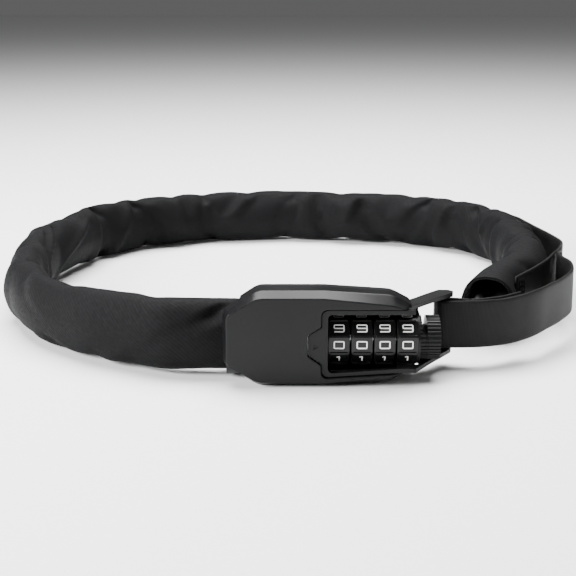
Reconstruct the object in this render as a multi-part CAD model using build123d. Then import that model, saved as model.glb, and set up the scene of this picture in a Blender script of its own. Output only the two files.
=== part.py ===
from build123d import *
import os
from math import radians, tan

# Wearable chain lock, standing on its long edge as a closed loop. Millimetres.
# While it is built: X runs right along the dials, Y runs back from the flat face of the front
# cover, and Z runs up from the middle of the lock. place_all() moves everything so that the
# origin is the middle of the underside.

# ---------------------------------------------------------------- driving dimensions
FLOOR = -22.0                 # what the lock and the sleeve stand on
COVER_DEPTH = 12.0            # front cover, from its flat face to the parting line
BEVEL_DEPTH = 4.6             # front bevel, measured backwards
HOUSING_BACK = 31.5           # rear face of the back housing
HOUSING_LEFT = -21.5          # the sleeve butts against this end
HOUSING_RIGHT = 57.9
PARTING = 0.15                # gap between two cast shells
WALL = 2.2
SHOULDER = 15.5               # the back housing tapers behind this depth
TAPER = 4.4                   # how much smaller its outline is before the last bevel, all round
BACK_BEVEL = 2.6              # bevel round the rear face

AXIS_Y = 15.9                 # dial axis, behind the flat face
AXIS_Z = -3.0
RUN = 0.05                    # radial running clearance
DIAL_COUNT = 4
DIAL_PITCH = 10.2
FIRST_DIAL = 22.7
DIAL_RADIUS = 13.1            # over the grip bars
DIAL_FACET = 11.95            # flat-to-centre distance of the ten digit facets
DIAL_WIDTH = 9.3
DIAL_BORE = 7.4
GRIP_WIDTH = 1.1              # grip bar at each corner of a dial
GRIP_INSET = 0.8
KEY_RADIUS = 0.55             # rib that couples a code wheel to its dial
DIGITS = 10
WHEEL_LENGTH = 6.6
BARREL_RADIUS = 13.5          # room that the dials turn in

BOLT_RADIUS = 3.2
BOLT_TIP = 0.8
BOLT_TRAVEL = DIAL_PITCH      # the fins step from one gap between code wheels to the next
FIN_RADIUS = 5.3
FIN_WIDTH = 2.2
FIN_THICKNESS = 1.0
FIRST_FIN = 16.5
END_PLATE = (58.05, 59.05)
COLLAR = (59.2, 62.0)         # ribbed ring that turns to set a new code
KNOB = (62.15, 68.3)          # ribbed head of the bolt
KNOB_RADIUS = 10.0
RIB_COUNT = 36
RIB_RADIUS = 0.42
NOTCH = (60.1, 62.3)          # slot across the top of collar and knob
NOTCH_DEPTH = 6.6

COMB_BACK = 29.4              # leaf comb that clicks the dials, flat behind them
COMB_THICK = 0.35
COMB_HALF = 4.5
COMB_SPINE = 1.8
COMB = (17.0, 57.0)
COMB_FIT = 0.2

POCKET = (3.0, 10.2)          # takes the end link, which the bolt then crosses
POCKET_HALF = 10.8
BLOCK = (-2.5, 13.8)          # latch block between the chain cavity and the dial barrel
BLOCK_DEPTH = (3.4, HOUSING_BACK - WALL)
BLOCK_HEIGHT = (-15.5, 9.5)
BLOCK_FIT = 0.1

SCREWS = [(-12, 17.2), (-12, -17.2), (38, 17.4), (34, -18.4)]
SHANK_RADIUS = 1.05
HEAD_RADIUS = 1.6
HEAD_LENGTH = 1.5
HEX_KEY = 0.95
SCREW_TIP = 7.5
SCREW_SEAT = 17.0             # bottom of the counterbore, in front of the taper
SCREW_BOSS = 2.4

FRAME_FRONT = 0.8             # window rim, a little behind the flat face
FRAME_RIM = 3.0
ARM_TOP = (11.9, 13.9)        # upper buckle arm, inner and outer height
ARM_LOW = (-15.4, -13.4)
CROSSBAR_X = 71.6
CROSSBAR_Y = 30.7
CROSSBAR_RADIUS = 2.2

SLEEVE_HEIGHT = 34.4
SLEEVE_THICK = 22.0
SLEEVE_CORNER = 10.5
SLEEVE_WALL = 1.0
SLEEVE_Z = FLOOR + SLEEVE_HEIGHT / 2
HEM_WIDTH = 5.0

LINK_BAR = 6.0
ANCHOR_PIN = 2.6
ANCHOR_CHEEK = 6.2            # half the fork's width along the pin
LINK_INNER = 8.0
LINK_PITCH = 17.25
LINK_SLACK = 0.7
CHAIN_ROOM = 10.4             # radius of the opening that the chain passes through
END_LINK_BACK = 18.0          # from the mouth of the sleeve to the middle of the end link

STRAP_WIDTH = 22.8
STRAP_THICK = 1.8
STRAP_Z = -0.8
LOOP_THICK = 0.6
HOOK_THICK = 0.5
PATCH_WIDTH = 20.8
LOOP_SPAN = (100.0, 123.0)     # along the strap from its sewn end
HOOK_SPAN = (2.0, 20.0)       # along the tail
TACK_LENGTH = 8.5
TACK_INSET = 2.0              # from the end of the webbing
TACK_THICK = 0.5

DIAL_CENTRES = [FIRST_DIAL + DIAL_PITCH * i for i in range(DIAL_COUNT)]

# Middle line of the sleeve, from inside the lock round to its open mouth.
CHAIN_START = (-10.0, 18.8)
SLEEVE_ROUTE = [(-21.8, 18.8), (-50, 18.8), (-84, 35), (-126, 68), (-144, 118), (-143, 190),
                (-127, 234), (-88, 275), (-30, 290), (40, 288), (104, 266), (135, 230),
                (137.5, 168), (130, 120), (104.5, 83), (96, 63.5)]
# Middle line of the band that is sewn along the sleeve, from the back to the mouth.
BAND_ROUTE = [(144.4, 233.5), (155.5, 204), (158, 162), (148, 130), (136.5, 106), (126.0, 89),
              (111.8, 68.6)]
# Middle line of the strap: sewn to the band, round the outside and forwards to the strap bar.
LEG_ROUTE = [(148.9, 126.8), (144.9, 118.3), (145.0, 108.5), (147.4, 98), (145.2, 82), (134, 64),
             (118, 44), (103, 32.5), (88, 27.0)]
# From the back of the strap bar it returns along its own inner face; the last part is the tail.
RETURN_ROUTE = [(79.5, 33.3), (86, 30.9), (92.0, 32.4)]
TAIL_ROUTE = [(92.3, 32.5), (100.4, 35.7), (110.3, 43.3)]


# ---------------------------------------------------------------- helpers
def outline(corners, closed=True):
    """Face bounded by straight runs through (x, z, rounding) corners, in its own XY plane."""
    points = [(x, z) for x, z, _ in corners]
    radii = [r for _, _, r in corners]
    return make_face(FilletPolyline(*points, radius=radii, close=closed))


def prism_y(face, front, back):
    """Extrude a face drawn in X and Z from one depth to another."""
    drawn = Plane((0, front, 0), x_dir=(1, 0, 0), z_dir=(0, -1, 0)) * face
    return extrude(drawn, amount=-(back - front))


def prism_z(face, low, high):
    return extrude(Pos(0, 0, low) * face, amount=high - low)


def block(x, y, z):
    """Box between (low, high) pairs."""
    middle = [(low + high) / 2 for low, high in (x, y, z)]
    return Pos(*middle) * Box(x[1] - x[0], y[1] - y[0], z[1] - z[0])


def rod(radius, left, right, y=AXIS_Y, z=AXIS_Z):
    """Cylinder along X, on the dial axis unless told otherwise."""
    return Pos((left + right) / 2, y, z) * Rot(0, 90, 0) * Cylinder(radius, right - left)


def rod_y(radius, front, back, x, z):
    return Pos(x, (front + back) / 2, z) * Rot(90, 0, 0) * Cylinder(radius, back - front)


def about_axis(shape, angle):
    """Turn a shape about the dial axis."""
    return Pos(0, AXIS_Y, AXIS_Z) * Rot(angle, 0, 0) * Pos(0, -AXIS_Y, -AXIS_Z) * shape


def smooth_route(points, level):
    """Straight runs joined by tangent arcs as large as the runs allow."""
    corners = [Vector(x, y, level) for x, y in points]
    radii = []
    for before, corner, after in zip(corners, corners[1:], corners[2:]):
        turn = radians((corner - before).get_angle(after - corner))
        shorter = min((corner - before).length, (after - corner).length)
        radii.append(0.45 * shorter / tan(turn / 2))
    return FilletPolyline(*corners, radius=radii)


def across(path, distance):
    """Plane square to a level route, at a distance along it, with its local X level."""
    part = distance / path.length
    ahead = path.tangent_at(part)
    return Plane(path.position_at(part), x_dir=(ahead.Y, -ahead.X, 0), z_dir=ahead)


def ribbon(path, thick, width, offset=0.0):
    """Flat strip standing on edge along a level route; offset is to the right of travel."""
    section = across(path, 0) * Pos(offset, 0) * Rectangle(thick, width)
    return sweep(section, path)


# ---------------------------------------------------------------- lock shells
def body_corners(grow=0.0, face=False):
    """Corners of the lock's outline seen from the front, or of its flat face inside the bevel."""
    top = 19.4 if face else 22.0
    left = -27.3 if face else -29.0
    nose = 53.2 if face else 55.0
    slope = 3.2 if face else 2.0
    inset = 1.5 if face else 0
    return [(left - grow, 11.5 + grow / 2, 4), (-13.5 - grow / 2, top + grow, 9),
            (16 + grow / 2, top + grow, 30), (46 + grow, top - slope + grow, 12),
            (nose + grow, 15.2 - inset, 3), (nose + grow, -14.0 + inset, 3),
            (46 + grow, -top + slope - grow, 12), (16 + grow / 2, -top - grow, 30),
            (-13.5 - grow / 2, -top - grow, 9), (left - grow, -11.5 - grow / 2, 4)]


def frustum(front_corners, front, back_corners, back):
    """Straight-sided body between two outlines with matching corners."""
    ends = [Plane((0, depth, 0), x_dir=(1, 0, 0), z_dir=(0, -1, 0)) * outline(corners)
            for corners, depth in ((front_corners, front), (back_corners, back))]
    return loft(ends, ruled=True)


def sleeve_envelope(room):
    """Straight stretch of sleeve behind the cover's left end, with room all round."""
    section = RectangleRounded(SLEEVE_THICK + 2 * room, SLEEVE_HEIGHT + 2 * room, SLEEVE_CORNER)
    stand = Plane((HOUSING_LEFT - 25, SLEEVE_ROUTE[0][1], SLEEVE_Z), x_dir=(0, 1, 0), z_dir=(1, 0, 0))
    return extrude(stand * section, amount=25)


def rim_corners(grow=0.0):
    """Outer edge of the window rim with its index tab; runs past the cover on the right."""
    return [(70, 13.9 + grow, 0.5), (15.0 - grow, 13.9 + grow, 3), (15.0 - grow, 6.0 + grow, 1.2),
            (9.0 - grow, 2.3 + grow / 2, 1.2), (9.0 - grow, -6.8 - grow / 2, 1.2),
            (15.0 - grow, -10.9 - grow, 1.2), (15.0 - grow, -17.2 - grow, 3),
            (52, -14.9 - grow, 6), (70, -14.9 - grow, 0.5)]


def frame_channel(back):
    """Room for the buckle frame between the two prongs, open to the right."""
    front = FRAME_RIM - 0.2
    deep = block((BLOCK[1] - 0.01, 30.5), (front, back), (-18.7, ARM_TOP[1] + 0.3))
    return deep + block((30, 70), (front, back), (-16.1, ARM_TOP[1] + 0.3))


def front_cover():
    """C-shaped bevelled cover; its window is open towards the buckle."""
    cover = frustum(body_corners(face=True), 0, body_corners(), BEVEL_DEPTH)
    cover += prism_y(outline(body_corners()), BEVEL_DEPTH, COVER_DEPTH)
    hollow = prism_y(outline(body_corners(grow=-WALL)), WALL + 0.6, COVER_DEPTH + 1)
    cover -= hollow & block((-40, BLOCK[1] + 0.1), (0, 20), (-30, 30))
    cover -= prism_y(outline(rim_corners(grow=0.5)), -1, FRAME_RIM + 0.3)
    cover -= sleeve_envelope(0.4)
    for x, z in SCREWS:
        inside = prism_y(outline(body_corners(grow=-0.3)), 0, COVER_DEPTH)
        cover += rod_y(SCREW_BOSS, BEVEL_DEPTH, COVER_DEPTH, x, z) & inside
        cover -= rod_y(SHANK_RADIUS + RUN, SCREW_TIP - 1.5, COVER_DEPTH + 1, x, z)
    return cover - frame_channel(20)


def back_housing():
    """Deep rear shell: chain cavity on the left, latch block in the middle, dial barrel on the right."""
    front = COVER_DEPTH + PARTING
    shell = prism_y(outline(body_corners()), front, SHOULDER)
    bevel = HOUSING_BACK - BACK_BEVEL
    shell += frustum(body_corners(), SHOULDER, body_corners(grow=-TAPER), bevel)
    shell += frustum(body_corners(grow=-TAPER), bevel, body_corners(grow=-TAPER - BACK_BEVEL), HOUSING_BACK)
    shell &= block((HOUSING_LEFT, HOUSING_RIGHT), (0, 40), (-30, 30))
    drum = rod(BARREL_RADIUS + 1.9, BLOCK[1], HOUSING_RIGHT)
    shell += drum & block((0, 70), (front, 40), (-30, ARM_TOP[0] - 0.2))
    shell -= rod(CHAIN_ROOM, HOUSING_LEFT - 1, BLOCK[0] - WALL, SLEEVE_ROUTE[0][1], SLEEVE_Z)
    block_room = [(low - BLOCK_FIT, high + BLOCK_FIT) for low, high in (BLOCK, BLOCK_DEPTH, BLOCK_HEIGHT)]
    shell -= block(*block_room)
    shell -= block(POCKET, (0, 40), (AXIS_Z - POCKET_HALF, AXIS_Z + POCKET_HALF))
    shell -= rod(BARREL_RADIUS, BLOCK[1] + 0.1, HOUSING_RIGHT + 1)
    shell -= frame_channel(18.2)
    comb_room = (AXIS_Z - COMB_HALF - COMB_FIT, AXIS_Z + COMB_HALF + COMB_FIT)
    shell -= block((COMB[0] - 1, COMB[1] + COMB_FIT), (20, COMB_BACK + 0.1), comb_room)
    for x, z in SCREWS:
        shell -= rod_y(SHANK_RADIUS + 0.15, 0, SCREW_SEAT + 1, x, z)
        shell -= rod_y(HEAD_RADIUS + 0.2, SCREW_SEAT, 40, x, z)
    return shell


def housing_screws():
    """Countersunk machine screws from behind, one solid each."""
    group = []
    for x, z in SCREWS:
        head_back = SCREW_SEAT + HEAD_LENGTH
        shank = rod_y(SHANK_RADIUS, SCREW_TIP, SCREW_SEAT + 0.2, x, z)
        head = rod_y(HEAD_RADIUS, SCREW_SEAT + 0.1, head_back, x, z)
        drive = Pos(x, head_back, z) * Rot(90, 0, 0) * extrude(RegularPolygon(HEX_KEY, 6), amount=0.8)
        group.append((shank + head - drive).solid())
    return Compound(children=group)


# ---------------------------------------------------------------- buckle frame
def arm_plan(lower):
    """Plan of one slim buckle arm; the lower one keeps in front of the fourth dial."""
    if lower:
        root = [(49.0, 7.4), (49.0, 1.4), (57.0, 2.0), (64.5, 13.5)]
        inner = [(64.5, 29.0), (59.25, 23.0), (59.25, 9.6), (58.0, 7.4)]
    else:
        root = [(49.0, 18.0), (49.0, 1.4), (51.0, 3.4), (62.5, 16.5)]
        inner = [(64.5, 29.0), (57.0, 20.6), (54.5, 18.0)]
    end = [(76.0, 29.6), (76.6, 32.2), (74.6, 34.6), (70.0, 34.8)]
    return root + end + inner


def buckle_frame():
    """One casting: window rim and tab, channel round the dials, two arms and the strap bar."""
    rim = prism_y(outline(rim_corners()), FRAME_FRONT, FRAME_RIM)
    window = outline([(80, 11.9, 0.5), (17.6, 11.9, 2.0), (17.6, -15.4, 2.4), (50, -13.0, 6), (80, -13.0, 0.5)])
    rim -= prism_y(window, 0, 5)
    rim &= block((0, 56.0), (0, 5), (-30, 30))
    index = make_face(Polyline((11.2, -4.2), (11.2, -1.8), (13.4, -3.0), close=True))
    rim -= prism_y(index, 0, FRAME_FRONT + 0.4)
    frame = rim + block((BLOCK[1] + 0.1, 15.8), (FRAME_RIM - 0.1, 18.0), (-18.4, 13.9))
    frame -= rod(BOLT_RADIUS + RUN, 0, 20)
    frame += block((15.7, 50), (FRAME_RIM - 0.1, 18.0), ARM_TOP)
    frame += block((15.7, 30.2), (FRAME_RIM - 0.1, 18.0), (-18.4, -16.6))
    frame += block((15.7, 50.0), (FRAME_RIM - 0.1, 4.6), (-15.9, -14.6))
    for lower, (low, high) in ((False, ARM_TOP), (True, ARM_LOW)):
        plan = make_face(Polyline(*arm_plan(lower), close=True))
        frame += prism_z(plan, low, high)
    middle = (ARM_TOP[0] + ARM_LOW[1]) / 2
    bar = Cylinder(CROSSBAR_RADIUS, ARM_TOP[0] - ARM_LOW[1] + 1)
    return frame + Pos(CROSSBAR_X, CROSSBAR_Y, middle) * bar


# ---------------------------------------------------------------- code mechanism
def dial(centre):
    """Ten-sided dial: flat facets for the digits with a grip bar at each corner."""
    left = centre - DIAL_WIDTH / 2
    facets = RegularPolygon(DIAL_FACET, DIGITS, major_radius=False, rotation=180 / DIGITS)
    stand = Plane((left, AXIS_Y, AXIS_Z), x_dir=(0, 1, 0), z_dir=(1, 0, 0))
    body = extrude(stand * facets, amount=DIAL_WIDTH)
    body &= rod(DIAL_RADIUS - 0.7, left, left + DIAL_WIDTH)
    for i in range(DIGITS):
        bar = block((left + GRIP_INSET, left + DIAL_WIDTH - GRIP_INSET), (AXIS_Y - DIAL_RADIUS, AXIS_Y - 10),
                    (AXIS_Z - GRIP_WIDTH / 2, AXIS_Z + GRIP_WIDTH / 2))
        body += about_axis(bar, 360 / DIGITS * (i + 0.5))
    body -= rod(DIAL_BORE, left - 1, left + DIAL_WIDTH + 1)
    for i in range(DIGITS):
        groove = rod(KEY_RADIUS + 0.07, left - 1, left + DIAL_WIDTH + 1, AXIS_Y - DIAL_BORE, AXIS_Z)
        body -= about_axis(groove, 360 / DIGITS * i)
    return body


def code_wheel(centre):
    """Slotted wheel inside a dial; its rib sits in one of the dial's ten grooves."""
    left = centre - WHEEL_LENGTH / 2
    right = centre + WHEEL_LENGTH / 2
    wheel = rod(DIAL_BORE - RUN, left, right)
    wheel += rod(KEY_RADIUS, left, right, AXIS_Y - DIAL_BORE, AXIS_Z)
    wheel -= rod(BOLT_RADIUS + 0.4, left - 1, right + 1)
    slot = block((left - 1, right + 1), (AXIS_Y, AXIS_Y + FIN_RADIUS + 0.3),
                 (AXIS_Z - FIN_WIDTH / 2 - 0.2, AXIS_Z + FIN_WIDTH / 2 + 0.2))
    return wheel - slot


def locking_bolt():
    """Rod with one fin for each code wheel; its tip crosses the link pocket."""
    bolt = rod(BOLT_RADIUS, BOLT_TIP, KNOB[1] - 2.0)
    for i in range(DIAL_COUNT):
        middle = FIRST_FIN + DIAL_PITCH * i
        bolt += block((middle - FIN_THICKNESS / 2, middle + FIN_THICKNESS / 2),
                      (AXIS_Y, AXIS_Y + FIN_RADIUS), (AXIS_Z - FIN_WIDTH / 2, AXIS_Z + FIN_WIDTH / 2))
    bolt = chamfer(bolt.edges().filter_by(GeomType.CIRCLE).sort_by(Axis.X)[0], 0.6)
    return bolt - rod(1.0, KNOB[1] - 7.0, KNOB[1])


def ribbed(left, right):
    """Fine ribs parallel to the axis on a short drum."""
    drum = rod(KNOB_RADIUS - RIB_RADIUS, left, right)
    for i in range(RIB_COUNT):
        rib = rod(RIB_RADIUS, left, right, AXIS_Y - KNOB_RADIUS + RIB_RADIUS, AXIS_Z)
        drum += about_axis(rib, 360 / RIB_COUNT * i)
    return drum


def notch():
    top = AXIS_Z + KNOB_RADIUS
    return block(NOTCH, (0, 40), (top - NOTCH_DEPTH, top + 5))


def reset_collar():
    """Ribbed ring beside the end plate; turning it frees the dials for a new code."""
    return ribbed(*COLLAR) - rod(BOLT_RADIUS + RUN, 50, 70) - notch()


def pull_knob():
    """Ribbed head of the bolt, recessed for its screw."""
    knob = ribbed(*KNOB) - notch()
    knob -= rod(BOLT_RADIUS, 50, KNOB[1] - 2.0)
    return knob - rod(2.7, KNOB[1] - 1.3, KNOB[1] + 1) - rod(1.2, 50, 70)


def knob_screw():
    screw = rod(2.6, KNOB[1] - 1.3, KNOB[1] - 0.1) + rod(0.95, KNOB[1] - 6.5, KNOB[1] - 1.2)
    return screw - block((KNOB[1] - 0.7, KNOB[1]), (AXIS_Y - 3, AXIS_Y + 3), (AXIS_Z - 0.35, AXIS_Z + 0.35))


def end_plate():
    """Bearing plate that closes the barrel on the right and is riveted to its rim."""
    flange = rod(BARREL_RADIUS + 1.3, *END_PLATE) & block((50, 70), (18.5, 40), (ARM_LOW[1] + 0.2, ARM_TOP[0] - 0.1))
    return rod(12.0, *END_PLATE) + flange - rod(BOLT_RADIUS + RUN, 50, 70)


def thrust_ring():
    """Plain ring that the first dial runs against."""
    return rod(11.0, 15.95, 17.95) - rod(7.6, 10, 20)


def detent_spring():
    """Comb of leaf fingers behind the dials, one for each."""
    depth = (COMB_BACK - COMB_THICK, COMB_BACK)
    comb = block(COMB, depth, (AXIS_Z + COMB_HALF - COMB_SPINE, AXIS_Z + COMB_HALF))
    for centre in DIAL_CENTRES:
        comb += block((centre - 2.5, centre + 2.5), depth, (AXIS_Z - COMB_HALF, AXIS_Z + COMB_HALF))
    return comb


def latch_block():
    """Block with the link pocket, bored for the bolt and for the spring behind its tip."""
    body = block(BLOCK, BLOCK_DEPTH, BLOCK_HEIGHT)
    body -= block(POCKET, (6.2, 40), (AXIS_Z - POCKET_HALF, AXIS_Z + POCKET_HALF))
    body -= rod(BOLT_RADIUS + RUN, 0.0, 20)
    return body - rod(2.5, -1.6, 1)


def bolt_spring():
    """Short coil behind the bolt tip."""
    coil = Helix(pitch=0.8, height=1.6, radius=1.9, center=(-1.3, AXIS_Y, AXIS_Z), direction=(1, 0, 0))
    wire = Plane(coil @ 0, z_dir=coil % 0) * Circle(0.25)
    return sweep(wire, coil)


# ---------------------------------------------------------------- chain
def link():
    """Welded link lying in its local XZ plane, long in local Z."""
    half = (LINK_INNER + LINK_BAR) / 2
    straight = LINK_PITCH + LINK_BAR + LINK_SLACK - 2 * half
    ring = Plane.XZ * Rot(0, 0, 90) * SlotCenterToCenter(straight, 2 * half)
    centre = ring.wire()
    return sweep(Plane(centre @ 0, z_dir=centre % 0) * Circle(LINK_BAR / 2), centre)


def link_planes(path):
    """Planes of the links from the end link back to the lock."""
    count = int((path.length - END_LINK_BACK) / LINK_PITCH) + 1
    return [across(path, path.length - END_LINK_BACK - LINK_PITCH * i) for i in range(count)]


def chain_links(path):
    """Links from the mouth to the lock, leaning one way and the other in turn."""
    one = link()
    return [(plane * Rot(0, 0, 45 if i % 2 else -45) * one).solid() for i, plane in enumerate(link_planes(path))]


def anchor_frame(path):
    """Frame of the link nearest the lock, with its local Z pointing away from the lock."""
    planes = link_planes(path)
    return planes[-1] * Rot(0, 0, 45 if (len(planes) - 1) % 2 else -45)


def anchor_pin(path):
    """Pin through the eye of the last link."""
    eye = (LINK_PITCH + LINK_SLACK) / 2 - ANCHOR_PIN - 0.15
    return anchor_frame(path) * Pos(0, 0, -eye) * Rot(90, 0, 0) * Cylinder(ANCHOR_PIN, 2 * ANCHOR_CHEEK)


def chain_anchor(path):
    """Fork that holds the pin, standing against the wall of the latch block."""
    eye = (LINK_PITCH + LINK_SLACK) / 2 - ANCHOR_PIN - 0.15
    back = -(link_planes(path)[-1].origin.X - (BLOCK[0] - WALL)) - 0.1
    fork = Pos(0, 0, -(back + eye - 3.4) / 2) * Box(9.0, 2 * ANCHOR_CHEEK, back - eye + 3.4)
    slot = Pos(0, 0, -(back - 2.6) / 2) * Box(12, LINK_BAR + 0.6, back - 2.6)
    bore = Pos(0, 0, -eye) * Rot(90, 0, 0) * Cylinder(ANCHOR_PIN, 3 * ANCHOR_CHEEK)
    return anchor_frame(path) * (fork - slot - bore)


# ---------------------------------------------------------------- soft parts
def sleeve(path):
    """Woven tube over the chain: an oval skin with an open mouth."""
    outer = RectangleRounded(SLEEVE_THICK, SLEEVE_HEIGHT, SLEEVE_CORNER)
    inner = RectangleRounded(SLEEVE_THICK - 2 * SLEEVE_WALL, SLEEVE_HEIGHT - 2 * SLEEVE_WALL,
                             SLEEVE_CORNER - SLEEVE_WALL)
    return sweep(across(path, 0) * (outer - inner), path)


def tube_ring(path, start, length, outer_gap, wall):
    """Short oval ring inside the sleeve, between two distances along it."""
    outer = RectangleRounded(SLEEVE_THICK - 2 * outer_gap, SLEEVE_HEIGHT - 2 * outer_gap, SLEEVE_CORNER - outer_gap)
    inner_gap = outer_gap + wall
    inner = RectangleRounded(SLEEVE_THICK - 2 * inner_gap, SLEEVE_HEIGHT - 2 * inner_gap, SLEEVE_CORNER - inner_gap)
    return extrude(across(path, start) * (outer - inner), amount=length)


def band_path():
    return smooth_route(BAND_ROUTE, STRAP_Z)


def strap_path():
    """Outer leg, turn round the strap bar and the start of the return, as one level path."""
    reach = CROSSBAR_RADIUS + 0.2 + STRAP_THICK / 2
    leg = smooth_route(LEG_ROUTE + [(CROSSBAR_X, CROSSBAR_Y - reach)], STRAP_Z)
    turn = CenterArc((CROSSBAR_X, CROSSBAR_Y, STRAP_Z), reach, 270, -180)
    back = smooth_route([(CROSSBAR_X, CROSSBAR_Y + reach)] + RETURN_ROUTE, STRAP_Z)
    return Wire(leg.edges() + turn.edges() + back.edges())


def tail_path():
    return smooth_route(TAIL_ROUTE, STRAP_Z)


def strip_on(path, span, side, thick, width):
    """Strip on one face of a webbing, between two distances; side is 1 for the right of travel."""
    stretch = path.trim(span[0] / path.length, span[1] / path.length)
    return ribbon(stretch, thick, width, side * (STRAP_THICK + thick) / 2)


def sleeve_band():
    return ribbon(band_path(), STRAP_THICK, STRAP_WIDTH)


def webbing_strap():
    return ribbon(strap_path(), STRAP_THICK, STRAP_WIDTH)


def strap_tail():
    return ribbon(tail_path(), STRAP_THICK, STRAP_WIDTH)


def loop_patch():
    """Loop pile on the inner face of the strap."""
    return strip_on(strap_path(), LOOP_SPAN, 1, LOOP_THICK, PATCH_WIDTH)


def hook_patch():
    """Hook pile on the face of the tail that meets the strap."""
    return strip_on(tail_path(), HOOK_SPAN, 1, HOOK_THICK, PATCH_WIDTH)


def bar_tacks():
    """Dense stitching: two rows on the band's outer face and one on the strap's root."""
    near = (TACK_INSET, TACK_INSET + TACK_LENGTH)
    far = [band_path().length - inset for inset in reversed(near)]
    places = [(band_path(), near), (band_path(), far), (strap_path(), near)]
    tacks = [strip_on(path, span, -1, TACK_THICK, STRAP_WIDTH - 2) for path, span in places]
    return Compound(children=[tack.solid() for tack in tacks])


def place_all(parts):
    """Move every part so that the origin is the middle of the underside."""
    boxes = [shape.bounding_box() for shape in parts.values()]
    low = [min(getattr(box.min, axis) for box in boxes) for axis in "XYZ"]
    high = [max(getattr(box.max, axis) for box in boxes) for axis in "XYZ"]
    shift = (-(low[0] + high[0]) / 2, -(low[1] + high[1]) / 2, -low[2])
    print("moved by", [round(v, 3) for v in shift], "size", [round(h - l, 2) for l, h in zip(low, high)])
    return {name: Pos(*shift) * shape for name, shape in parts.items()}


def build_all():
    sleeve_path = smooth_route(SLEEVE_ROUTE, SLEEVE_Z)
    lead_in = Line((*CHAIN_START, SLEEVE_Z), (*SLEEVE_ROUTE[0], SLEEVE_Z))
    chain_path = Wire([lead_in.edge()] + list(sleeve_path.edges()))
    links = chain_links(chain_path)
    print("sleeve length", round(sleeve_path.length, 1), "links", len(links))
    print("band", round(band_path().length, 1), "strap", round(strap_path().length, 1))
    parts = {}
    parts["front_cover"] = front_cover()
    parts["back_housing"] = back_housing()
    parts["housing_screws"] = housing_screws()
    parts["buckle_frame"] = buckle_frame()
    for i, centre in enumerate(DIAL_CENTRES):
        parts[f"dial_{i + 1}"] = dial(centre)
        parts[f"code_wheel_{i + 1}"] = code_wheel(centre)
    parts["locking_bolt"] = locking_bolt()
    parts["pull_knob"] = pull_knob()
    parts["knob_screw"] = knob_screw()
    parts["reset_collar"] = reset_collar()
    parts["end_plate"] = end_plate()
    parts["thrust_ring"] = thrust_ring()
    parts["detent_spring"] = detent_spring()
    parts["latch_block"] = latch_block()
    parts["bolt_spring"] = bolt_spring()
    parts["anchor_pin"] = anchor_pin(chain_path)
    parts["chain_anchor"] = chain_anchor(chain_path)
    parts["chain_end_link"] = links[0]
    parts["chain_links_odd"] = Compound(children=links[1::2])
    parts["chain_links_even"] = Compound(children=links[2::2])
    parts["sleeve"] = sleeve(sleeve_path)
    parts["sleeve_hem"] = tube_ring(sleeve_path, sleeve_path.length - HEM_WIDTH, HEM_WIDTH, SLEEVE_WALL + 0.05, 0.7)
    parts["sleeve_clamp"] = tube_ring(sleeve_path, 0.2, 6.0, SLEEVE_WALL + 0.05, 1.2)
    parts["sleeve_band"] = sleeve_band()
    parts["webbing_strap"] = webbing_strap()
    parts["strap_tail"] = strap_tail()
    parts["loop_patch"] = loop_patch()
    parts["hook_patch"] = hook_patch()
    parts["bar_tacks"] = bar_tacks()
    return place_all(parts)


if __name__ == "__main__":
    os.makedirs("parts", exist_ok=True)
    parts = build_all()
    for name, shape in parts.items():
        export_step(shape, f"parts/{name}.step")
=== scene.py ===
from math import cos, pi, radians, sin, tan

import bmesh
import bpy
from mathutils import Matrix, Vector, noise


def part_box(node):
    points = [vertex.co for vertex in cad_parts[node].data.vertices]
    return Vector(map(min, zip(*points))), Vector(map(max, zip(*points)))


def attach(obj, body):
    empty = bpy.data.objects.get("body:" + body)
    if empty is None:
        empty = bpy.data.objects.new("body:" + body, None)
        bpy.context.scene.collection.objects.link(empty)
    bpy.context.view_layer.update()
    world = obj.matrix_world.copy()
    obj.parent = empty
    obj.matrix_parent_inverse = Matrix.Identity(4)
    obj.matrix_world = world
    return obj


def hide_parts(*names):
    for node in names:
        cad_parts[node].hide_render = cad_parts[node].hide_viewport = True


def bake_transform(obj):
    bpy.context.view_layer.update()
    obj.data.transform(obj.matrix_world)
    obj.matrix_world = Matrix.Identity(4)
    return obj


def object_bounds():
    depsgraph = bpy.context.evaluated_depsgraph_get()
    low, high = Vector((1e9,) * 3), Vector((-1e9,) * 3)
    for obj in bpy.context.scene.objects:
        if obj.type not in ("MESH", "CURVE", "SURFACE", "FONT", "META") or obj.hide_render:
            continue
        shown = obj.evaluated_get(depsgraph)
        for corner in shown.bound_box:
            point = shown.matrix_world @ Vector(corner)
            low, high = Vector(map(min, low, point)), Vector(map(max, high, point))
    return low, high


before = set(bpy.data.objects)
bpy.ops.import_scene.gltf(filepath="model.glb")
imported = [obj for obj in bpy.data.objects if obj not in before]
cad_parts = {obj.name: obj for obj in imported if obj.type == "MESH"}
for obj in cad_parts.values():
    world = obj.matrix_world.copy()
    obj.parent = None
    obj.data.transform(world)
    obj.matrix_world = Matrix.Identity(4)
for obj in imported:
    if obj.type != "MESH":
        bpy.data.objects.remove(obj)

# A wearable chain lock standing on its long edge. Lengths in the tables below are millimetres in the
# lock's own frame: X along the dials, Y back from the flat face of the cover, Z up from its middle.
MM = 0.001
CAD_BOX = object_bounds()

COVER_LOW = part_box("front_cover")[0]
COVER_LEFT, COVER_DOWN = 29, 22            # how far the cover reaches left of and below the origin
LOCK = Vector((COVER_LOW.x + COVER_LEFT * MM, COVER_LOW.y, COVER_LOW.z + COVER_DOWN * MM))
FLOOR_Z = -22.0

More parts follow.
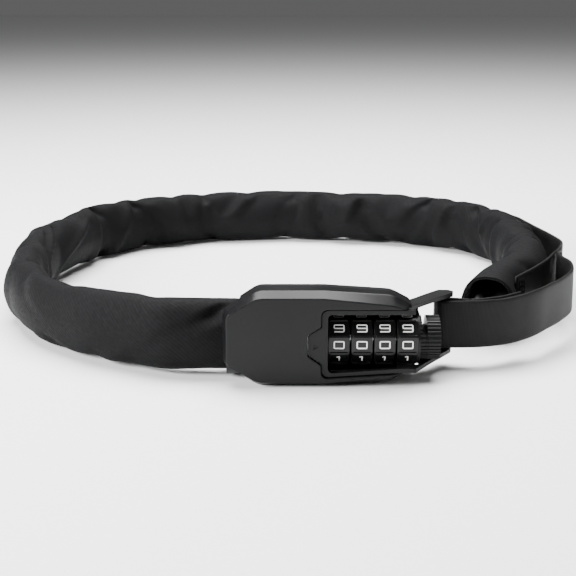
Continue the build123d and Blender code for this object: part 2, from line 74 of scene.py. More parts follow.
SLEEVE_ROUTE = [(-21.8, 18.8), (-50, 18.8), (-84, 35), (-126, 68), (-144, 118), (-143, 190),
                (-127, 234), (-88, 275), (-30, 290), (40, 288), (104, 266), (135, 230),
                (137.5, 168), (130, 120), (105.5, 83), (98.5, 63.5)]
BAND_ROUTE = [(139.6, 241.5), (145.4, 230.5), (148.8, 207), (155.5, 174), (156.5, 155), (148, 130),
              (136.5, 106), (126.0, 89), (113.4, 70.6)]
LEG_ROUTE = [(148.9, 126.8), (144.9, 118.3), (145.0, 108.5), (147.4, 98), (145.2, 82), (134, 64),
             (118, 44), (103, 32.5), (88, 27.0)]
RETURN_ROUTE = [(79.5, 33.3), (85.0, 31.1)]
TAIL_ROUTE = [(85.1, 31.07), (89.0, 31.0), (94.0, 33.2), (100.4, 35.7), (110.3, 43.3)]
CROSSBAR = (71.6, 30.7, 2.2)               # strap bar: x, y and radius
STRAP_WIDTH, STRAP_THICK, STRAP_Z = 22.8, 1.6, -0.8


def at(x, y, z):
    """A point of the lock's own frame, in metres in the row frame."""
    return LOCK + Vector((x, y, z)) * MM


# ---------------------------------------------------------------- routes and meshes
def rounded(points, share=0.45, radius=None, steps=8):
    """A polyline whose corners are replaced by arcs, as (x, y) points close together."""
    corners = [Vector(p) for p in points]
    line = [corners[0]]
    for before, corner, after in zip(corners, corners[1:], corners[2:]):
        back, ahead = before - corner, after - corner
        turn = pi - back.angle(ahead)
        reach = share * min(back.length, ahead.length)
        if radius is not None:
            reach = min(reach, radius * tan(turn / 2))
        first = corner + back.normalized() * reach
        last = corner + ahead.normalized() * reach
        for i in range(steps + 1):
            t = i / steps
            line.append(first.lerp(corner, t).lerp(corner.lerp(last, t), t))
    return line + [corners[-1]]


class Route:
    """A level line that can be read at any distance along it."""

    def __init__(self, points):
        self.points = [Vector(p) for p in points]
        self.reach = [0.0]
        for a, b in zip(self.points, self.points[1:]):
            self.reach.append(self.reach[-1] + (b - a).length)
        self.length = self.reach[-1]

    def point(self, distance):
        distance = min(max(distance, 0.0), self.length)
        for i in range(len(self.points) - 1):
            if distance <= self.reach[i + 1] or i == len(self.points) - 2:
                share = (distance - self.reach[i]) / max(self.reach[i + 1] - self.reach[i], 1e-9)
                return self.points[i].lerp(self.points[i + 1], share)

    def heading(self, distance, step=1.5):
        return (self.point(distance + step) - self.point(distance - step)).normalized()


def blend_keys(keys, x):
    """Smooth value between (x, value) keys."""
    if x <= keys[0][0]:
        return keys[0][1]
    for (xa, a), (xb, b) in zip(keys, keys[1:]):
        if x <= xb:
            t = (x - xa) / (xb - xa)
            return a + (b - a) * t * t * (3 - 2 * t)
    return keys[-1][1]


def new_object(name, mesh, material=None, smooth=True):
    piece = bpy.data.objects.new(name, mesh)
    bpy.context.scene.collection.objects.link(piece)
    if material is not None:
        mesh.materials.append(material)
    if smooth:
        for polygon in mesh.polygons:
            polygon.use_smooth = True
    return piece


def grid_mesh(name, rows, sizes=None):
    """Tube of quads between rings of points. Sizes in millimetres, round and along it, give it a UV map
    in centimetres: U round the ring, V along the tube."""
    mesh = bpy.data.meshes.new(name)
    around, bands = len(rows[0]), len(rows) - 1
    verts = [p for row in rows for p in row]
    faces, corners = [], []
    for i in range(bands):
        for j in range(around):
            k = (j + 1) % around
            faces.append((i * around + j, (i + 1) * around + j, (i + 1) * around + k, i * around + k))
            corners.append((i, j))
    mesh.from_pydata(verts, [], faces)
    if sizes:
        width, length = sizes
        layer = mesh.uv_layers.new(name="weave")
        for (i, j), polygon in zip(corners, mesh.polygons):
            for (a, b), loop in zip(((0, 0), (1, 0), (1, 1), (0, 1)), polygon.loop_indices):
                layer.data[loop].uv = ((j + b) / around * width / 10, (i + a) / bands * length / 10)
    mesh.update()
    return mesh


def thicken(piece, thickness):
    """Cloth of a thickness in millimetres, grown inwards from its outer face and smoothed."""
    solid = piece.modifiers.new("thickness", "SOLIDIFY")
    solid.thickness = thickness * MM
    solid.offset = -1
    smooth = piece.modifiers.new("smooth", "SUBSURF")
    smooth.levels = smooth.render_levels = 1


# ---------------------------------------------------------------- materials
class Recipe:
    """A node material under construction."""

    def __init__(self, name, colour, roughness, metallic=0.0):
        self.material = bpy.data.materials.new(name)
        self.material.use_nodes = True
        self.tree = self.material.node_tree
        self.shader = self.tree.nodes["Principled BSDF"]
        self.colour, self.roughness = colour, roughness
        self.shader.inputs["Base Color"].default_value = (*colour, 1)
        self.shader.inputs["Roughness"].default_value = roughness
        self.shader.inputs["Metallic"].default_value = metallic
        self.material.diffuse_color = (*colour, 1)

    def node(self, kind, values=None, **settings):
        made = self.tree.nodes.new(kind)
        for key, value in settings.items():
            setattr(made, key, value)
        for key, value in (values or {}).items():
            if isinstance(value, bpy.types.NodeSocket):
                self.tree.links.new(value, made.inputs[key])
            else:
                made.inputs[key].default_value = value
        return made

    def place(self):
        return self.node("ShaderNodeTexCoord").outputs["Object"]

    def uv(self):
        return self.node("ShaderNodeUVMap", uv_map="weave").outputs["UV"]

    def noise(self, scale, detail=3.0, rough=0.5, where=None):
        made = self.node("ShaderNodeTexNoise", {"Vector": where or self.place(), "Scale": scale,
                                                "Detail": detail, "Roughness": rough})
        return made.outputs["Fac"]

    def scaled(self, value, low, high, new_low, new_high):
        made = self.node("ShaderNodeMapRange", {"Value": value, "From Min": low, "From Max": high,
                                                "To Min": new_low, "To Max": new_high})
        return made.outputs["Result"]

    def maths(self, kind, a, b=0.0):
        made = self.node("ShaderNodeMath", operation=kind)
        for i, value in enumerate((a, b)):
            if isinstance(value, bpy.types.NodeSocket):
                self.tree.links.new(value, made.inputs[i])
            else:
                made.inputs[i].default_value = value
        return made.outputs[0]

    def mixed(self, share, first, second):
        made = self.node("ShaderNodeMix", data_type="RGBA")
        for index, value in ((0, share), (6, first), (7, second)):
            if isinstance(value, bpy.types.NodeSocket):
                self.tree.links.new(value, made.inputs[index])
            else:
                made.inputs[index].default_value = value if index == 0 else (*value, 1)
        return made.outputs[2]

    def use(self, name, socket):
        self.tree.links.new(socket, self.shader.inputs[name])

    def set(self, **values):
        for name, value in values.items():
            self.shader.inputs[name.replace("_", " ")].default_value = value

    def bump(self, height, distance, strength=1.0, normal=None):
        values = {"Height": height, "Distance": distance, "Strength": strength}
        if normal is not None:
            values["Normal"] = normal
        return self.node("ShaderNodeBump", values).outputs["Normal"]


def tint(colour, factor):
    return tuple(min(1.0, c * factor) for c in colour)


def coated_metal(name, colour, roughness, grain=2600, worn=1.9, edge=0.35):
    """Sprayed satin coating: fine orange peel, soft blotches, thin paint on the edges."""
    r = Recipe(name, colour, roughness)
    blotch = r.noise(45, 4)
    fine = r.noise(grain, 2)
    rounded_normal = r.node("ShaderNodeBevel", {"Radius": edge * MM}, samples=6).outputs["Normal"]
    facing = r.node("ShaderNodeVectorMath", {0: rounded_normal,
                                             1: r.node("ShaderNodeNewGeometry").outputs["Normal"]},
                    operation="DOT_PRODUCT").outputs["Value"]
    edges = r.scaled(facing, 0.985, 0.86, 0.0, 1.0)
    scuffs = r.maths("MULTIPLY", edges, r.scaled(r.noise(420, 3), 0.42, 0.62, 0.15, 1.0))
    base = r.mixed(r.scaled(blotch, 0.35, 0.65, 0, 1), tint(colour, 0.85), tint(colour, 1.2))
    r.use("Base Color", r.mixed(scuffs, base, tint(colour, worn)))
    rough = r.scaled(blotch, 0.3, 0.7, roughness - 0.05, roughness + 0.07)
    r.use("Roughness", r.maths("ADD", rough, r.scaled(fine, 0.3, 0.7, -0.03, 0.03)))
    r.use("Normal", r.bump(fine, 0.012 * MM, 0.6, rounded_normal))
    r.set(Specular_IOR_Level=0.16)
    return r.material


def moulded_plastic(name, colour, roughness, grain=1800):
    """Fine spark-eroded mould texture."""
    r = Recipe(name, colour, roughness)
    fine = r.noise(grain, 4, 0.6)
    soft = r.noise(90, 3)
    r.use("Base Color", r.mixed(r.scaled(soft, 0.35, 0.65, 0, 1), tint(colour, 0.8), tint(colour, 1.25)))
    r.use("Roughness", r.scaled(fine, 0.3, 0.7, roughness - 0.07, roughness + 0.07))
    edge = r.node("ShaderNodeBevel", {"Radius": 0.2 * MM}, samples=6).outputs["Normal"]
    r.use("Normal", r.bump(fine, 0.02 * MM, 0.7, edge))
    r.set(Specular_IOR_Level=0.25)
    return r.material


def bare_metal(name, colour, roughness, streak=(300, 300, 4000), bump=0.01):
    """Metal with machining or drawing lines."""
    r = Recipe(name, colour, roughness, metallic=1.0)
    stretch = r.node("ShaderNodeMapping", {"Vector": r.place(), "Scale": streak}).outputs["Vector"]
    lines = r.noise(1.0, 5, 0.7, stretch)
    stain = r.noise(130, 4)
    r.use("Base Color", r.mixed(r.scaled(stain, 0.35, 0.7, 0, 1), tint(colour, 1.05), tint(colour, 0.72)))
    r.use("Roughness", r.scaled(lines, 0.3, 0.7, roughness - 0.08, roughness + 0.12))
    edge = r.node("ShaderNodeBevel", {"Radius": 0.15 * MM}, samples=6).outputs["Normal"]
    r.use("Normal", r.bump(lines, bump * MM, 0.7, edge))
    return r.material


def printed_ink(name, colour):
    """Slightly uneven pale print."""
    r = Recipe(name, colour, 0.55)
    mottle = r.noise(2200, 3)
    r.use("Base Color", r.mixed(r.scaled(mottle, 0.3, 0.7, 0, 1), tint(colour, 0.86), colour))
    r.use("Roughness", r.scaled(mottle, 0.3, 0.7, 0.45, 0.62))
    r.use("Normal", r.bump(mottle, 0.01 * MM, 0.5))
    return r.material


def woven_cloth(name, colour, pitch=0.11, depth=0.09, roughness=0.72):
    """Dense twill: diagonal ribs broken by the threads, from UVs in centimetres."""
    r = Recipe(name, colour, roughness)
    uv = r.uv()
    wobble = r.noise(5, 3, where=uv)
    diagonal = r.node("ShaderNodeTexWave", {"Vector": uv, "Scale": 0.5 / pitch / 1.57, "Distortion": 0.6,
                                            "Detail": 2.0, "Detail Scale": 1.5},
                      wave_type="BANDS", bands_direction="DIAGONAL").outputs["Fac"]
    threads = r.node("ShaderNodeTexWave", {"Vector": uv, "Scale": 1.0 / pitch / 1.57, "Distortion": 0.4,
                                           "Detail": 1.0, "Detail Scale": 2.0},
                     wave_type="BANDS", bands_direction="X").outputs["Fac"]
    weave = r.maths("ADD", r.maths("MULTIPLY", diagonal, 0.65), r.maths("MULTIPLY", threads, 0.35))
    fibres = r.noise(160, 3, 0.6, uv)
    dust = r.noise(14, 5, 0.6)
    shade = r.maths("ADD", r.maths("MULTIPLY", weave, 0.6), r.maths("MULTIPLY", fibres, 0.4))
    base = r.mixed(r.scaled(shade, 0.25, 0.75, 0, 1), tint(colour, 0.62), tint(colour, 1.35))
    r.use("Base Color", r.mixed(r.scaled(dust, 0.45, 0.75, 0, 0.5), base, tint(colour, 1.7)))
    r.use("Roughness", r.scaled(wobble, 0.3, 0.7, roughness - 0.08, roughness + 0.08))
    r.use("Normal", r.bump(weave, depth * MM, 0.8))
    r.set(Sheen_Weight=0.006, Sheen_Roughness=0.4, Specular_IOR_Level=0.08)
    return r.material


def webbing_cloth(name, colour, roughness=0.55):
    """Ribbed nylon: a rib for each weft thread across the strap, finer warp lines along it."""
    r = Recipe(name, colour, roughness)
    uv = r.uv()
    ribs = r.node("ShaderNodeTexWave", {"Vector": uv, "Scale": 5.0, "Distortion": 0.35, "Detail": 1.5,
                                        "Detail Scale": 3.0},
                  wave_type="BANDS", bands_direction="Y").outputs["Fac"]
    warp = r.node("ShaderNodeTexWave", {"Vector": uv, "Scale": 9.0, "Distortion": 0.9, "Detail": 2.0},
                  wave_type="BANDS", bands_direction="X").outputs["Fac"]
    weave = r.maths("ADD", r.maths("MULTIPLY", ribs, 0.8), r.maths("MULTIPLY", warp, 0.2))
    fuzz = r.noise(140, 3, 0.6, uv)
    wear = r.noise(22, 5, 0.6)
    shade = r.scaled(r.maths("ADD", weave, fuzz), 0.5, 1.4, 0, 1)
    base = r.mixed(shade, tint(colour, 0.6), tint(colour, 1.4))
    r.use("Base Color", r.mixed(r.scaled(wear, 0.45, 0.75, 0, 0.45), base, tint(colour, 1.8)))
    r.use("Roughness", r.scaled(weave, 0.2, 0.8, roughness + 0.1, roughness - 0.08))
    r.use("Normal", r.bump(weave, 0.12 * MM, 0.8))
    r.set(Sheen_Weight=0.01, Sheen_Roughness=0.35, Specular_IOR_Level=0.14)
    return r.material


def pile_cloth(name, colour):
    """Matted loops of a hook-and-loop strip."""
    r = Recipe(name, colour, 0.85)
    loops = r.node("ShaderNodeTexVoronoi", {"Vector": r.place(), "Scale": 2600.0}).outputs["Distance"]
    clumps = r.noise(700, 3)
    height = r.maths("ADD", r.maths("MULTIPLY", loops, 0.6), clumps)
    r.use("Base Color", r.mixed(r.scaled(height, 0.5, 1.1, 0, 1), tint(colour, 0.6), tint(colour, 1.9)))
    r.use("Roughness", r.scaled(clumps, 0.3, 0.7, 0.75, 0.95))
    r.use("Normal", r.bump(height, 0.25 * MM, 0.9))
    r.set(Sheen_Weight=0.02, Sheen_Roughness=0.5, Specular_IOR_Level=0.1)
    return r.material


def paint(node, material):
    """Replace the material of a CAD node."""
    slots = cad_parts[node].data.materials
    slots.clear()
    slots.append(material)


def paint_cad_nodes():
    """Finishes for the hard CAD nodes that stay visible."""
    cover = coated_metal("cover_coat", (0.0032, 0.0032, 0.0036), 0.34, worn=3.0, edge=0.9)
    housing = coated_metal("housing_coat", (0.0032, 0.0032, 0.0036), 0.42)
    casting = coated_metal("frame_coat", (0.0040, 0.0040, 0.0044), 0.42, worn=2.2, edge=0.25)
    knob = coated_metal("knob_coat", (0.0032, 0.0032, 0.0036), 0.4, worn=3.0, edge=0.12)
    dial = moulded_plastic("dial_plastic", (0.0024, 0.0024, 0.0027), 0.36)
    steel = bare_metal("turned_steel", (0.55, 0.55, 0.56), 0.28)
    dark_steel = bare_metal("blackened_steel", (0.07, 0.07, 0.075), 0.4)
    spring = bare_metal("spring_steel", (0.6, 0.6, 0.62), 0.22)
    brass = bare_metal("machined_brass", (0.66, 0.47, 0.2), 0.3)
    zinc = bare_metal("cast_zinc", (0.34, 0.34, 0.35), 0.5, (900, 900, 900), 0.03)
    chain = bare_metal("plated_chain", (0.06, 0.06, 0.062), 0.55, (200, 200, 200), 0.02)
    clamp = moulded_plastic("clamp_plastic", (0.02, 0.02, 0.021), 0.5)
    finishes = {
        "front_cover": cover, "back_housing": housing, "buckle_frame": casting, "end_plate": casting,
        "pull_knob": knob, "reset_collar": knob, "locking_bolt": steel, "anchor_pin": steel,
        "housing_screws": dark_steel, "knob_screw": dark_steel, "detent_spring": spring,
        "bolt_spring": spring, "thrust_ring": dark_steel, "latch_block": zinc, "chain_anchor": zinc,
        "chain_end_link": chain, "chain_links_odd": chain, "chain_links_even": chain,
        "sleeve_clamp": clamp,
    }
    for i in range(1, 5):
        finishes[f"dial_{i}"] = dial
        finishes[f"code_wheel_{i}"] = brass
    for node, material in finishes.items():
        paint(node, material)


# ---------------------------------------------------------------- digits
DIGIT_WIDTH, DIGIT_HEIGHT, STROKE = 4.9, 3.7, 0.56
DIGIT_CORNER = 0.55           # largest corner radius of a stroke's middle line
DIAL_STEP = 36.0              # degrees from one facet of a dial to the next
FACET = 11.95                 # flat-to-centre distance of the dials
# Section of a stroke: share of its half width to the side, and height above the facet.
STROKE_SECTION = ((-1, -0.05), (-0.9, 0.09), (0.9, 0.09), (1, -0.05))
# Strokes of each digit on a unit square, as points from the lower left; "closed" joins the ends.
STROKES = {
    0: [[(0, 0), (1, 0), (1, 1), (0, 1), "closed"]],
    1: [[(0.28, 0.8), (0.55, 1), (0.55, 0)]],
    2: [[(0, 1), (1, 1), (1, 0.5), (0, 0.5), (0, 0), (1, 0)]],
    3: [[(0, 1), (1, 1), (1, 0), (0, 0)], [(0.2, 0.5), (0.95, 0.5)]],
    4: [[(0, 1), (0, 0.4), (1, 0.4)], [(0.75, 1), (0.75, 0)]],
    5: [[(1, 1), (0, 1), (0, 0.5), (1, 0.5), (1, 0), (0, 0)]],
    6: [[(1, 1), (0, 1), (0, 0), (1, 0), (1, 0.5), (0.05, 0.5)]],
    7: [[(0, 1), (1, 1), (1, 0.7), (0.5, 0)]],
    8: [[(0, 0), (1, 0), (1, 1), (0, 1), "closed"], [(0.05, 0.5), (0.95, 0.5)]],
    9: [[(0, 0), (1, 0), (1, 1), (0, 1), (0, 0.5), (0.95, 0.5)]],
}


def stroke_line(points):
    """The stroke's middle line in millimetres about the digit's centre, corners rounded."""
    closed = points[-1] == "closed"
    width, height = DIGIT_WIDTH - STROKE, DIGIT_HEIGHT - STROKE
    corners = [Vector(((x - 0.5) * width, (y - 0.5) * height))
               for x, y in (points[:-1] if closed else points)]
    if closed:
        middle = (corners[0] + corners[1]) / 2
        corners = [middle] + corners[1:] + [corners[0], middle]
    return rounded(corners, radius=DIGIT_CORNER, steps=5), closed


def add_stroke(mesh, points, place):
    """Raised ribbon along a stroke; place turns (across, up, out) millimetres into a point."""
    line, closed = stroke_line(points)
    if closed:
        line = line[:-1]
    count = len(line)
    ring = []
    for i, p in enumerate(line):
        before = line[i - 1] if closed or i else line[0]
        after = line[(i + 1) % count] if closed or i < count - 1 else line[-1]
        ahead = (after - before).normalized()
        side = Vector((-ahead.y, ahead.x)) * STROKE / 2
        ring.append([mesh.verts.new(place(p.x + s * side.x, p.y + s * side.y, out))
                     for s, out in STROKE_SECTION])
    last = count if closed else count - 1
    for i in range(last):
        a, b = ring[i], ring[(i + 1) % count]
        for j in range(4):
            mesh.faces.new((a[j], a[(j + 1) % 4], b[(j + 1) % 4], b[j]))
    if not closed:
        mesh.faces.new(ring[0])
        mesh.faces.new(ring[-1][::-1])


def dial_digits(ink):
    """Pale digits on the facets of each dial: 0 to the front, 9 above it and 1 below."""
    for i in range(1, 5):
        low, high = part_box(f"dial_{i}")
        centre = Vector(((low.x + high.x) / 2, (low.y + high.y) / 2, (low.z + high.z) / 2))
        mesh = bmesh.new()
        for digit, strokes in STROKES.items():
            turn = Matrix.Rotation(radians(DIAL_STEP * digit), 3, "X")

            def place(across, up, out):
                return centre + turn @ Vector((across, -(FACET + out), up)) * MM

            for points in strokes:
                add_stroke(mesh, points, place)
        bmesh.ops.recalc_face_normals(mesh, faces=mesh.faces)
        data = bpy.data.meshes.new(f"digits_{i}")
        mesh.to_mesh(data)
        mesh.free()
        piece = new_object(f"digits_{i}", data, ink, smooth=False)
        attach(piece, f"dial_{i}")


# ---------------------------------------------------------------- sleeve
SLEEVE_HEIGHT = 34.4
SLEEVE_Z = FLOOR_Z + SLEEVE_HEIGHT / 2
SLEEVE_GIRTH = 95             # girth in the UV map of the weave
CLOTH_THICK, TAPE_THICK = 0.9, 0.7
HEM_GIRTH = 92                # the same for the tape inside the mouth
HEM_ROWS, HEM_ROW_LENGTH = 4, 2.5   # bands of the sleeve that the tape covers, and a band's length
HEM_INSET = 1.0               # how far the tape lies inside the cloth
ROWS, AROUND = 300, 48        # rings along the sleeve, points round each of them
SECTION_POWER = 2.4           # power of the oval from side to side: 2 is an ellipse
HEADING_STEP = 4              # the heading of the sleeve is read this far ahead and back
NEAR_STEPS = range(-14, 15, 2)   # distances about a ring at which the nearest bit of chain is sought
KINK_PUSH, KINK_ROUND = 0.3, 0.16   # how far the bends are pushed out, and how much they are rounded

# Shape of the sleeve by distance along it: thickness, height, power of the oval from top to bottom,
# rise off the floor, and the share of the folds that is let through near the ends.
THICK_KEYS = [(0, 19), (40, 21), (120, 20), (190, 20), (300, 21), (580, 21.5), (640, 23.5),
              (700, 23), (735, 24), (763, 27.5)]
HEIGHT_KEYS = [(0, 33), (60, 34.4), (763, 34.4)]
SHARP_KEYS = [(0, 1.9), (60, 1.62), (560, 1.62), (625, 2.1), (763, 2.35)]
LIFT_KEYS = [(0, 2.4), (50, 1.6), (110, 0.3), (763, 0.0)]
CALM_KEYS = [(0, 0.0), (12, 1.0), (725, 1.0), (748, 0.0)]

# Room that the chain takes with its links leaning to both sides: thickness, height and power of the
# outline from top to bottom. CLOTH_GAP is how far the cloth stays off it before it settles.
CORE_THICK, CORE_HEIGHT, CORE_SHARP = 17.2, 23.0, 2.3
CORE_AROUND = 20
CLOTH_GAP = 1.0

# Cloth simulation, on a copy ten times as large because cloth behaves better at that size.
UPSCALE = 10.0
CUT_THICK, CUT_SHARP = 21.0, 1.85   # section that the cloth is cut to
SLACK = 1.07                        # it is cut a little longer than the chain
CONTACT = 0.6                       # distance that it keeps from the chain
BENDING = 2.0
PRESSURE = 0.25
FRAMES = 14
START_ROWS, END_ROWS = 5, 4         # rings held still at the lock and at the mouth

FOLD_DEPTH = 1.9                    # factor on the depths of all folds
FOLD_FADE = 0.35                    # share of its height over which a fold dies out past its ends
WALL_SHARE = 0.3                    # share of the thickness at which the folds reach full depth
RIDGE_HALF = 1.5                    # points closer to the middle are the ridges and stay there
EDGE_START = 0.45                   # share of the half height from which the nicks act
# The cloth bends at these distances along the route and hangs straight between them.
KINKS = (0, 34, 74, 112, 153, 190, 228, 288, 328, 376, 434, 502, 535, 563, 590, 634, 665, 700, 738)

# Folds: where each crease starts and ends as (distance, height from -1 to 1), its depth, and how far
# its two flanks reach before and after it. A negative depth is a ridge.
INNER_FOLDS = [
    ((109, -0.9), (150, 0.95), 3.6, 9, 7), ((118, -0.9), (188, 0.8), -2.4, 7, 6),
    ((128, -0.8), (206, 0.7), 3.4, 6, 9), ((150, -0.7), (226, 0.95), -2.2, 9, 5),
    ((190, -0.9), (232, 0.9), 2.6, 5, 10), ((214, -0.6), (262, 0.6), -1.6, 12, 7),
    ((288, -1.0), (284, 1.0), 4.4, 4, 12), ((279, 1.0), (276, -0.8), -1.6, 8, 3),
    ((300, -0.9), (316, 0.9), -1.2, 9, 5), ((330, -0.9), (318, 1.0), 3.2, 4, 10),
    ((341, -0.7), (336, 0.3), 1.8, 4, 6), ((357, -0.2), (352, 0.9), -1.2, 10, 6),
    ((380, -0.8), (373, 1.0), 2.8, 9, 6), ((392, 0.1), (404, 0.9), -1.3, 9, 9),
    ((430, -0.9), (438, 0.8), 1.8, 14, 8), ((458, -0.6), (454, 0.8), 2.0, 9, 9),
    ((474, 0.0), (480, 0.95), -1.4, 9, 6), ((500, -0.8), (486, 0.5), 2.2, 10, 7),
    ((512, -0.9), (534, 0.9), 3.0, 11, 6), ((541, -0.4), (548, 0.9), -1.5, 9, 7),
    ((566, -0.8), (556, 0.2), 2.2, 10, 8), ((580, -0.3), (571, 0.75), 4.0, 5, 8),
    ((588, 0.2), (596, 0.9), -2.2, 8, 5), ((600, -0.7), (606, 0.6), 2.4, 5, 9),
    ((626, -0.9), (618, 0.9), -1.8, 8, 6), ((640, -0.8), (650, 0.9), 2.2, 8, 8),
    ((672, -0.9), (664, 0.8), 2.0, 8, 8), ((694, -0.5), (690, 0.9), -1.4, 10, 6),
    ((28, -0.2), (44, 0.9), 1.4, 12, 9), ((70, -0.6), (60, 0.9), 1.5, 10, 9),
]
OUTER_FOLDS = [
    ((46, -0.55), (4, 0.9), 2.4, 11, 8), ((60, -0.9), (20, 0.2), -1.5, 12, 10),
    ((74, -1.0), (58, -0.2), 1.8, 7, 9), ((96, -0.95), (112, 0.1), 1.2, 10, 12),
    ((120, -1.0), (128, 0.9), 1.3, 16, 14), ((156, -0.9), (152, 1.0), -0.8, 12, 7),
    ((176, -0.8), (186, 0.9), 2.4, 9, 8), ((230, -0.9), (226, 1.0), -1.2, 5, 11),
    ((262, -0.7), (248, 0.6), 2.2, 9, 9), ((290, -0.9), (286, 1.0), -1.4, 5, 12),
    ((330, -0.9), (326, 1.0), 2.8, 5, 10), ((352, -0.5), (362, 0.8), -1.4, 9, 8),
    ((378, -0.9), (374, 1.0), 2.6, 6, 11), ((408, -0.7), (400, 0.8), 1.7, 9, 9),
    ((436, -0.9), (430, 1.0), 2.4, 6, 10), ((470, -0.8), (478, 0.8), 2.0, 9, 9),
    ((503, -0.9), (499, 1.0), 2.8, 6, 10), ((538, -0.9), (532, 1.0), 2.6, 6, 10),
    ((565, -0.9), (560, 1.0), 2.2, 6, 9), ((590, -0.9), (588, 1.0), 2.4, 6, 9),
    ((612, -0.6), (620, 0.7), -1.5, 9, 7), ((636, -0.9), (632, 1.0), 2.0, 6, 9),
    ((662, -0.8), (656, 0.9), 2.0, 7, 9), ((706, -0.7), (716, 0.8), 1.2, 9, 9),
]
# Nicks in the top and bottom edges where a crease runs over them: distance, depth and reach.
TOP_NICKS = [(41, 0.8, 9), (92, 0.9, 10), (190, 1.6, 12), (258, 1.2, 10), (308, 1.3, 10),
             (352, 1.0, 9), (405, 1.2, 12), (468, 1.0, 11), (518, 1.5, 10), (549, 1.3, 9),
             (577, 1.4, 9), (612, 1.2, 10), (647, 1.3, 9), (700, 0.7, 12)]
BOTTOM_NICKS = [(74, 0.5, 12), (109, 0.6, 12), (216, 0.7, 14), (300, 0.7, 12), (360, 0.5, 14),
                (470, 0.6, 14), (550, 0.7, 12), (610, 0.6, 12), (690, 0.5, 14)]


def crease(distance, height, fold):
    """How far one fold pulls the cloth in at a place on the wall."""
    (d0, h0), (d1, h1), depth, before, after = fold
    share = min(max((height - h0) / (h1 - h0), -FOLD_FADE), 1 + FOLD_FADE)
    along = distance - (d0 + (d1 - d0) * share)
    reach = before if along < 0 else after
    across = max(0.0, 1 - abs(along) / reach)
    past = max(0.0, -share, share - 1)
    fade = max(0.0, 1 - past / FOLD_FADE)
    return FOLD_DEPTH * depth * across ** 1.4 * (3 - 2 * fade) * fade * fade


def nick(distance, nicks):
    """How far the nicks draw the top or bottom edge in at a distance."""
    return sum(depth * max(0.0, 1 - abs(distance - place) / reach) ** 1.5
               for place, depth, reach in nicks)


def chain_reach(up):
    """Half the width that the chain takes at a height above its middle, with the cloth on it."""
    if abs(up) >= CORE_HEIGHT / 2:
        return 0.0
    share = (abs(up) * 2 / CORE_HEIGHT) ** CORE_SHARP
    return CORE_THICK / 2 * (1 - share) ** (1 / SECTION_POWER) + CLOTH_GAP


def sleeve_section(share, thick, height, sharp):
    """Point of an oval section; sharp below 2 draws the top and bottom edges to a ridge."""
    angle = 2 * pi * share
    c, s = cos(angle), sin(angle)
    side = (1 if c >= 0 else -1) * abs(c) ** (2 / SECTION_POWER) * thick / 2
    up = (1 if s >= 0 else -1) * abs(s) ** (2 / sharp) * height / 2
    return side, up


def folded_section(d, offset):
    """Points (side, up) of the folded section at a distance, kept off the chain that lies the offset
    away from its middle."""
    thick, height, sharp, lift, calm = (
        blend_keys(keys, d) for keys in (THICK_KEYS, HEIGHT_KEYS, SHARP_KEYS, LIFT_KEYS, CALM_KEYS))
    section = []
    for j in range(AROUND):
        side, up = sleeve_section(j / AROUND, thick, height, sharp)
        share = up / (height / 2)
        wall = min(1.0, abs(side) / (thick * WALL_SHARE))
        folds = INNER_FOLDS if side > 0 else OUTER_FOLDS
        pull = calm * wall * sum(crease(d, share, fold) for fold in folds)
        edge = max(0.0, abs(share) - EDGE_START) / (1 - EDGE_START)
        drop = calm * edge * nick(d, TOP_NICKS if up > 0 else BOTTOM_NICKS)
        up -= drop * (1 if up > 0 else -1)
        wall_side = 1 if side > 0 else -1
        room = chain_reach(up + lift) - wall_side * offset
        side = wall_side * max(abs(side) - pull, room if abs(side) > RIDGE_HALF else 0.0)
        section.append((side, up + lift))
    return section


def sleeve_rows(route, chain):
    """Rings of the sleeve along its route, narrow at the top, rounder at the mouth, with its folds."""
    rows = []
    for i in range(ROWS + 1):
        d = route.length * i / ROWS
        p, ahead = route.point(d), route.heading(d, HEADING_STEP)
        right = Vector((ahead.y, -ahead.x))
        near = min((chain.point(chain.length * i / ROWS + step) for step in NEAR_STEPS),
                   key=lambda q: (q - p).length)
        row = []
        for side, up in folded_section(d, (p - near).dot(right)):
            q = p + right * side
            row.append(Vector((q.x, q.y, SLEEVE_Z + up)))
        rows.append(row)
    return rows


def straight_between_kinks(even):
    """Route with its bends at KINKS, pushed out so that it keeps to both sides of the even one."""
    places = list(KINKS) + [even.length]
    corners = [even.point(0)]
    for before, place, after in zip(places, places[1:], places[2:]):
        middle = (even.point(before) + even.point(after)) / 2
        out = even.point(place) - middle
        gap = min(place - before, after - place) / (after - before)
        corners.append(even.point(place) + out * KINK_PUSH * gap)
    return Route(rounded(corners + [even.point(even.length)], share=KINK_ROUND))


def chain_core(chain, scale):
    """Tube in place of the chain, for the cloth to settle on."""
    rings = []
    for i in range(ROWS + 1):
        d = chain.length * i / ROWS
        p, ahead = chain.point(d), chain.heading(d, HEADING_STEP)
        right = Vector((ahead.y, -ahead.x))
        ring = []
        for j in range(CORE_AROUND):
            side, up = sleeve_section(j / CORE_AROUND, CORE_THICK, CORE_HEIGHT, CORE_SHARP)
            q = p + right * side
            ring.append(Vector((q.x, q.y, SLEEVE_Z + up)) * scale)
        rings.append(ring)
    core = new_object("core", grid_mesh("core", rings))
    core.modifiers.new("collision", "COLLISION")
    core.collision.thickness_outer = CONTACT * scale
    core.collision.cloth_friction = 8.0
    return core


def straight_cut(cloth_run, length, scale):
    """Rest shape of the cloth: a straight tube, a little too long."""
    flat = cloth_run.shape_key_add(name="straight")
    for i in range(ROWS + 1):
        d = length * i / ROWS
        for j in range(AROUND):
            side, up = sleeve_section(j / AROUND, CUT_THICK, SLEEVE_HEIGHT, CUT_SHARP)
            flat.data[i * AROUND + j].co = Vector((side, d * SLACK, up)) * scale
    return flat


